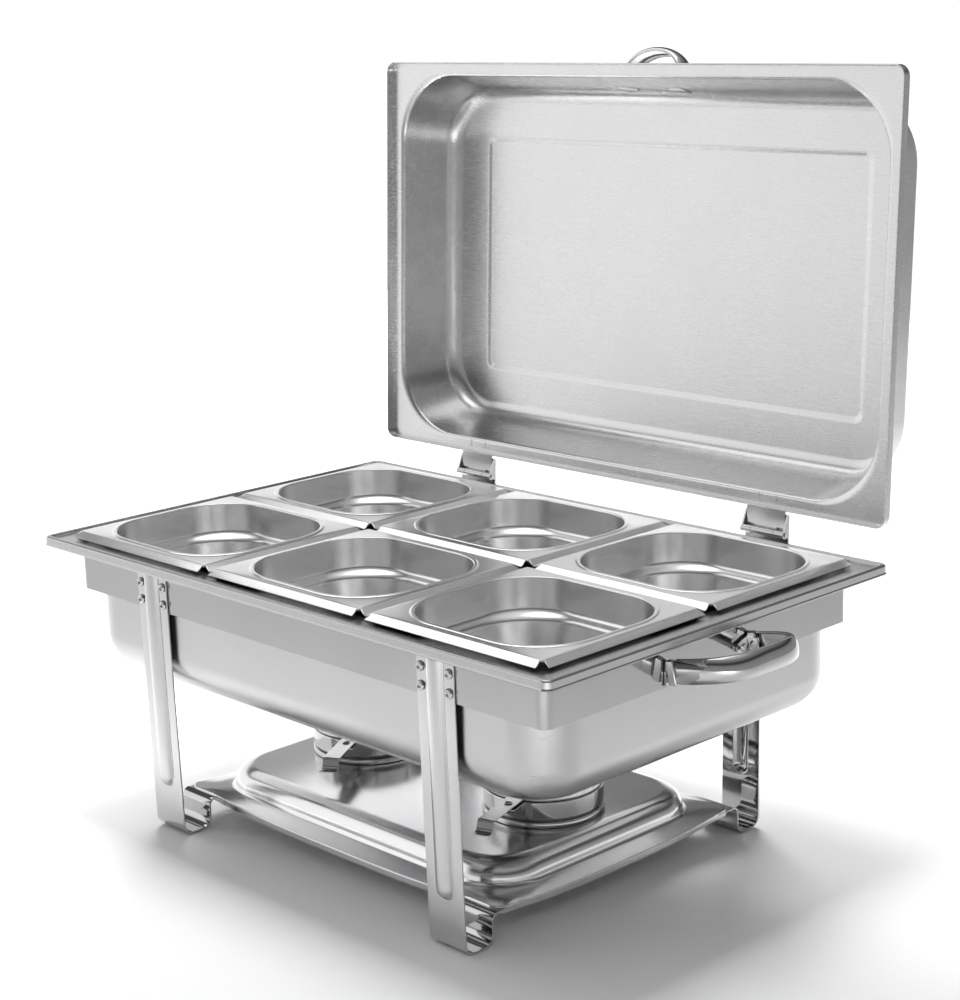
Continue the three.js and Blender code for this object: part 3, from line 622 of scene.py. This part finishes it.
def handle(prefix, body, half, reach, power, tilt, place):
    tilted = place @ Matrix.Rotation(math.radians(-tilt), 4, "X")
    piece(f"{prefix}_grip", grip(half, reach, power), body, [prefix], POLISHED, tilted)
    for end, side in (("a", -1), ("b", 1)):
        mirror = place @ Matrix.Scale(side, 4, (1, 0, 0))
        lean = Matrix.Rotation(math.radians(-tilt), 4, "X")
        high = HANDLE_WIDTH / 2
        outside = half + HANDLE_SECTION / 2
        ferrule = moved(box((outside - 5, -HANDLE_START + 0.3, -high), (outside, -2.4, high), 1.2), lean)
        tongue = moved(box((half - 2.7, -HANDLE_START - 2, -4.4), (half - 0.9, -4, 4.4), 0.4), lean)
        plate = loft(
            [
                np.array(
                    [
                        (outside + i, -y, -high + 0.2),
                        (outside + i, -y, high - 0.2),
                        (outside - 16, -y, 3),
                        (outside - 16, -y, -3),
                    ]
                )
                for i, y in ((-0.3, 0.3), (0, 0.6), (0, 2.0), (-0.3, 2.3))
            ]
        )
        stud = moved(turned([(0, 0), (2.4, 0), (2.4, 0.3), (1.9, 0.9), (1.0, 1.2), (0, 1.25)], 20),
                     Matrix.Translation((outside - 10, -2.2, 0)) @ Matrix.Rotation(math.radians(90), 4, "X"))
        foot = joined(ferrule, tongue, plate, stud)
        node = f"{prefix}_foot_{end}"
        piece(f"{prefix}_foot_piece_{end}", foot, body, [node], POLISHED, mirror)


# ---------------------------------------------------------------- small fittings copied from their CAD solids
def softened(name, node, body, steel_used, width=0.25):
    """The CAD solid's own shape with its edges rounded."""
    source = frame["nodes"][node]
    mesh = source.data.copy()
    mesh.name = name
    work = bmesh.new()
    work.from_mesh(mesh)
    bmesh.ops.remove_doubles(work, verts=work.verts, dist=2e-6)
    bmesh.ops.dissolve_limit(work, angle_limit=math.radians(1), verts=work.verts, edges=work.edges)
    work.to_mesh(mesh)
    work.free()
    for face in mesh.polygons:
        face.use_smooth = True
    made = bpy.data.objects.new(name, mesh)
    bpy.context.scene.collection.objects.link(made)
    mesh.materials.clear()
    mesh.materials.append(steel_used)
    bevel = made.modifiers.new("bevel", "BEVEL")
    bevel.width = width * MM
    bevel.segments = 2
    bevel.limit_method = "ANGLE"
    bevel.angle_limit = math.radians(35)
    weighted = made.modifiers.new("weighted", "WEIGHTED_NORMAL")
    weighted.mode = "FACE_AREA"
    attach(made, body)
    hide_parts(node)
    return made


# ---------------------------------------------------------------- burners, about their own centre, handle on +x
RING_BASE = span("burner_seat_left", 2)[0]
RING_HIGH = span("burner_seat_left", 2)[1]
CUP_LOW, CUP_HIGH = span("burner_cup_left", 2)
COVER_LOW, COVER_HIGH = span("burner_cover_left", 2)


def seat_ring():
    outer, inner = BURNER_RADIUS + 0.8, BURNER_RADIUS - 7
    return turned(
        [
            (inner, RING_BASE),
            (outer - 0.3, RING_BASE),
            (outer, RING_BASE + 0.5),
            (outer - 0.1, RING_HIGH - 1.2),
            (outer - 0.6, RING_HIGH - 0.3),
            (outer - 1.4, RING_HIGH),
            (inner, RING_HIGH),
        ],
        96,
    )


def burner_cup():
    r, t = BURNER_RADIUS, 1.2
    outside = [
        (0, CUP_LOW),
        (r - 2.2, CUP_LOW),
        (r - 1.4, CUP_LOW + 0.4),
        (r - 1.2, CUP_LOW + 1.2),
        (r - 0.9, CUP_LOW + 1.6),
        (r - 0.3, CUP_LOW + 2.0),
        (r, CUP_LOW + 2.6),
        (r, CUP_HIGH - 1.0),
        (r - 0.25, CUP_HIGH - 0.3),
        (r - 0.8, CUP_HIGH),
        (r - 1.35, CUP_HIGH - 0.3),
        (r - t - 0.4, CUP_HIGH - 1.0),
    ]
    inside = [
        (r - t - 0.4, CUP_LOW + 3),
        (r - t - 1.6, CUP_LOW + 1.6),
        (r - 4, CUP_LOW + t),
        (0, CUP_LOW + t),
    ]
    return turned(outside + inside, 96)


def burner_cover():
    r = BURNER_RADIUS - 1
    return turned(
        [
            (0, COVER_LOW),
            (r - 0.4, COVER_LOW),
            (r, COVER_LOW + 0.35),
            (r, COVER_HIGH - 0.3),
            (r - 0.35, COVER_HIGH),
            (r - 6, COVER_HIGH),
            (r - 7, COVER_HIGH - 0.25),
            (r - 12, COVER_HIGH - 0.25),
            (0, COVER_HIGH - 0.25),
        ],
        96,
    )


def cover_handle():
    level = COVER_HIGH + 0.3 + 1.0
    path = fillet(
        [(-20, level), (93, level), (95.4, level - 7.4), (99.5, level - 8.6), (102.6, level - 7.4)],
        (0, 1.6, 1.8, 1.8, 0),
        steps=6,
        metric=(0, 1),
    )
    strap = strip(path, 13.5, 1.0)
    # the strip's width runs along x, so a quarter turn points it outwards
    turn = Matrix(((0, 1, 0, 0), (-1, 0, 0, 0), (0, 0, 1, 0), (0, 0, 0, 1)))
    head = turned([(0, 0), (2.6, 0), (2.6, 0.5), (2.0, 1.0), (1.0, 1.25), (0, 1.3)], 24)
    studs = [moved(head, Matrix.Translation((x, 0, level - 0.05))) for x in (-14, 14)]
    return joined(moved(strap, turn), *studs)


def pivot_rivet():
    low, high = span("cover_pivot_left", 2)
    profile = [
        (0, low),
        (3, low),
        (3, low + 1),
        (1.5, low + 1),
        (1.5, high - 1.4),
        (3.1, high - 1.4),
        (3.2, high - 1.1),
        (2.7, high - 0.5),
        (1.6, high - 0.1),
        (0.6, high - 0.02),
        (0, high),
    ]
    return moved(turned(profile, 28), Matrix.Translation((PIVOT_RADIUS, 0, 0)))


# ---------------------------------------------------------------- building the object
piece("band", frame_band(), "frame", ["frame_band"], BAND)
LEG_X = sum(span("leg_front_right", 0)) / 2
for row, sy in ROWS:
    for hand, sx in SIDES:
        corner = f"{row}_{hand}"
        shape = leg(sx * LEG_X, sy)
        piece(f"leg_piece_{corner}", shape, "frame", [f"leg_{corner}"], POLISHED)
        for level in ("lower", "upper"):
            for end in "ab":
                node = f"rivet_{corner}_{level}_{end}"
                piece(f"{node}_head", rivet(node, sy), "frame", [node], RIVET)
piece("tray", base_tray(), "frame", ["base_tray"], TRAY)
piece("deep_pan", water_pan(), "water_pan", ["water_pan"], SATIN)
for row, _ in ROWS:
    for column in ("left", "middle", "right"):
        node = f"food_pan_{row}_{column}"
        cx, cy = (sum(span(node, axis)) / 2 for axis in (0, 1))
        piece(f"sixth_{row}_{column}", food_pan(cx, cy), node, [node], FOOD)
piece("lid_shell", lid_shell(), "lid", ["lid"], LID, LID_STAND)

SIDE_GRIP = {"half": 43.5, "reach": 62, "power": 3.2, "tilt": 12}
LID_GRIP = {"half": 31, "reach": 36.5, "power": 2.1, "tilt": 0}
SIDE_HANDLE_Z = 195
LID_HANDLE_Z = 45
for hand, side in SIDES:
    wall = Matrix.Translation((side * BAND_X, 0, SIDE_HANDLE_Z)) @ Matrix.Rotation(side * math.pi / 2, 4, "Z")
    handle(f"side_handle_{hand}", "frame", place=STAND @ wall, **SIDE_GRIP)
    turn = Matrix.Rotation(math.radians(BURNER_TURN[hand]), 4, "Z")
    burner = STAND @ Matrix.Translation((side * BURNER_X, 0, 0)) @ turn
    low, cover = f"burner_{hand}", f"burner_cover_{hand}"
    piece(f"seat_{hand}", seat_ring(), "frame", [f"burner_seat_{hand}"], BURNER, burner)
    piece(f"cup_{hand}", burner_cup(), low, [f"burner_cup_{hand}"], BURNER, burner)
    piece(f"cover_{hand}", burner_cover(), cover, [f"burner_cover_{hand}"], BURNER, burner)
    piece(f"strap_{hand}", cover_handle(), cover, [f"cover_handle_{hand}"], BURNER, burner)
    piece(f"pivot_{hand}", pivot_rivet(), low, [f"cover_pivot_{hand}"], RIVET, burner)
    softened(f"ear_{hand}", f"burner_bracket_{hand}", low, BURNER)
    softened(f"hinge_plate_{hand}", f"hinge_bracket_{hand}", "frame", HINGE_STEEL)
    softened(f"hinge_rod_{hand}", f"hinge_pin_{hand}", "frame", RIVET)
    softened(f"leaf_{hand}", f"hinge_leaf_{hand}", "lid", HINGE_STEEL)
    piece(f"tongue_marks_{hand}", tongue_marks(side), "lid", [], LID, LID_STAND)
wall_lean = math.atan2(13.5, 44.8)
handle_y = -(158.2 - (LID_HANDLE_Z - LID_LIP) * math.tan(wall_lean)) - 0.3
lid_wall = Matrix.Translation((0, handle_y, LID_HANDLE_Z)) @ Matrix.Rotation(-wall_lean, 4, "X")
handle("lid_handle", "lid", place=LID_STAND @ lid_wall, **LID_GRIP)


# ---------------------------------------------------------------- floor, light and camera
LEFT = (-1.0, 0.0, 0.0)  # the side the white backdrop is on
SKY_TILT = (0.0, 0.25, 1.0)  # height in the sky, counted higher towards the rear


def pale_floor():
    mesh = bpy.data.meshes.new("floor")
    size = 2.4  # half its side: it ends while it is still evenly lit, so its far edge melts into the backdrop
    corners = [(-size, -size, 0), (size, -size, 0), (size, size, 0), (-size, size, 0)]
    mesh.from_pydata(corners, [], [(0, 1, 2, 3)])
    floor = bpy.data.objects.new("floor", mesh)
    bpy.context.scene.collection.objects.link(floor)
    paint = bpy.data.materials.new("floor_paint")
    paint.use_nodes = True
    shader = paint.node_tree.nodes["Principled BSDF"]
    shader.inputs["Base Color"].default_value = (0.92, 0.92, 0.92, 1)
    shader.inputs["Roughness"].default_value = 0.9
    shader.inputs["Specular IOR Level"].default_value = 0.05
    mesh.materials.append(paint)
    floor.location.z = -0.0005


def studio_sky():
    """A white backdrop along the left and a dim room elsewhere, which gives the steel its soft bands."""
    world = bpy.data.worlds.new("studio")
    bpy.context.scene.world = world
    world.use_nodes = True
    nodes, links = world.node_tree.nodes, world.node_tree.links
    place = nodes.new("ShaderNodeTexCoord")
    parts = nodes.new("ShaderNodeSeparateXYZ")
    links.new(place.outputs["Generated"], parts.inputs["Vector"])

    def ramp(source, stops):
        made = nodes.new("ShaderNodeValToRGB")
        made.color_ramp.interpolation = "EASE"
        while len(made.color_ramp.elements) < len(stops):
            made.color_ramp.elements.new(0.5)
        for element, (position, value) in zip(made.color_ramp.elements, stops):
            element.position = position
            element.color = (value, value, value, 1)
        links.new(source, made.inputs["Fac"])
        return made.outputs["Color"]

    def along(direction):
        made = nodes.new("ShaderNodeVectorMath")
        made.operation = "DOT_PRODUCT"
        made.inputs[1].default_value = direction
        links.new(place.outputs["Generated"], made.inputs[0])
        return made.outputs["Value"]

    backdrop = ramp(along(LEFT), ((0.3, 0.0), (0.6, 1.0)))
    tilted = along(SKY_TILT)
    height = ramp(parts.outputs["Z"], ((0.0, 0.35), (0.2, 0.3), (0.4, 0.06), (0.75, 0.3), (1.0, 0.7)))
    bright = ramp(tilted, ((0.0, 1.15), (0.41, 1.1), (0.48, 0.35), (0.55, 0.08), (1.0, 0.15)))
    both = nodes.new("ShaderNodeMix")
    both.data_type = "RGBA"
    links.new(backdrop, both.inputs[0])
    links.new(height, both.inputs[6])
    links.new(bright, both.inputs[7])
    links.new(both.outputs[2], nodes["Background"].inputs["Color"])


def soft_light(name, at, target, size, power, spread=180, reflected=True):
    light = bpy.data.lights.new(name, "AREA")
    light.shape = "RECTANGLE"
    light.size, light.size_y = size
    light.energy = power
    light.spread = math.radians(spread)
    lamp = bpy.data.objects.new(name, light)
    bpy.context.scene.collection.objects.link(lamp)
    lamp.location = at
    lamp.rotation_mode = "QUATERNION"
    lamp.rotation_quaternion = (Vector(target) - Vector(at)).to_track_quat("-Z", "Y")
    lamp.visible_camera = False
    lamp.visible_glossy = reflected


def camera():
    """The photograph's viewpoint: yaw, pitch and roll in degrees."""
    yaw, pitch, roll = (math.radians(a) for a in (-46.403, 13.529, -1.796))
    ahead = Vector((math.sin(yaw) * math.cos(pitch), math.cos(yaw) * math.cos(pitch), -math.sin(pitch)))
    level = Vector((math.cos(yaw), -math.sin(yaw), 0))
    upright = level.cross(ahead)
    right = math.cos(roll) * level + math.sin(roll) * upright
    up = -math.sin(roll) * level + math.cos(roll) * upright
    data = bpy.data.cameras.new("camera")
    data.lens = 76.26
    data.sensor_width = 36
    eye = bpy.data.objects.new("camera", data)
    bpy.context.scene.collection.objects.link(eye)
    turn = Matrix((right, up, -ahead)).transposed().to_4x4()
    eye.matrix_world = Matrix.Translation(CENTRE + Vector((1.16643, -1.07206, 0.64715))) @ turn
    bpy.context.scene.camera = eye


pale_floor()
studio_sky()
soft_light("overhead", (-0.9, 0.0, 1.65), (-0.9, 0.0, 0), (2.0, 1.1), 9)
soft_light("pool", (-0.15, 0.15, 1.35), (-0.15, 0.15, 0), (0.7, 0.7), 3.5, spread=60, reflected=False)
soft_light("key", (-2.0, -1.9, 1.7), (-1.9, -1.8, 0), (1.5, 1.3), 5, spread=90, reflected=False)
soft_light("fill", (1.4, -1.4, 1.2), (1.2, -1.2, 0), (0.8, 0.8), 14, spread=80, reflected=False)
soft_light("backdrop", (-2.1, 2.1, 2.4), (-1.3, 1.3, 0), (2.0, 1.6), 62, spread=100, reflected=False)
camera()
bpy.context.scene.view_settings.view_transform = "Standard"
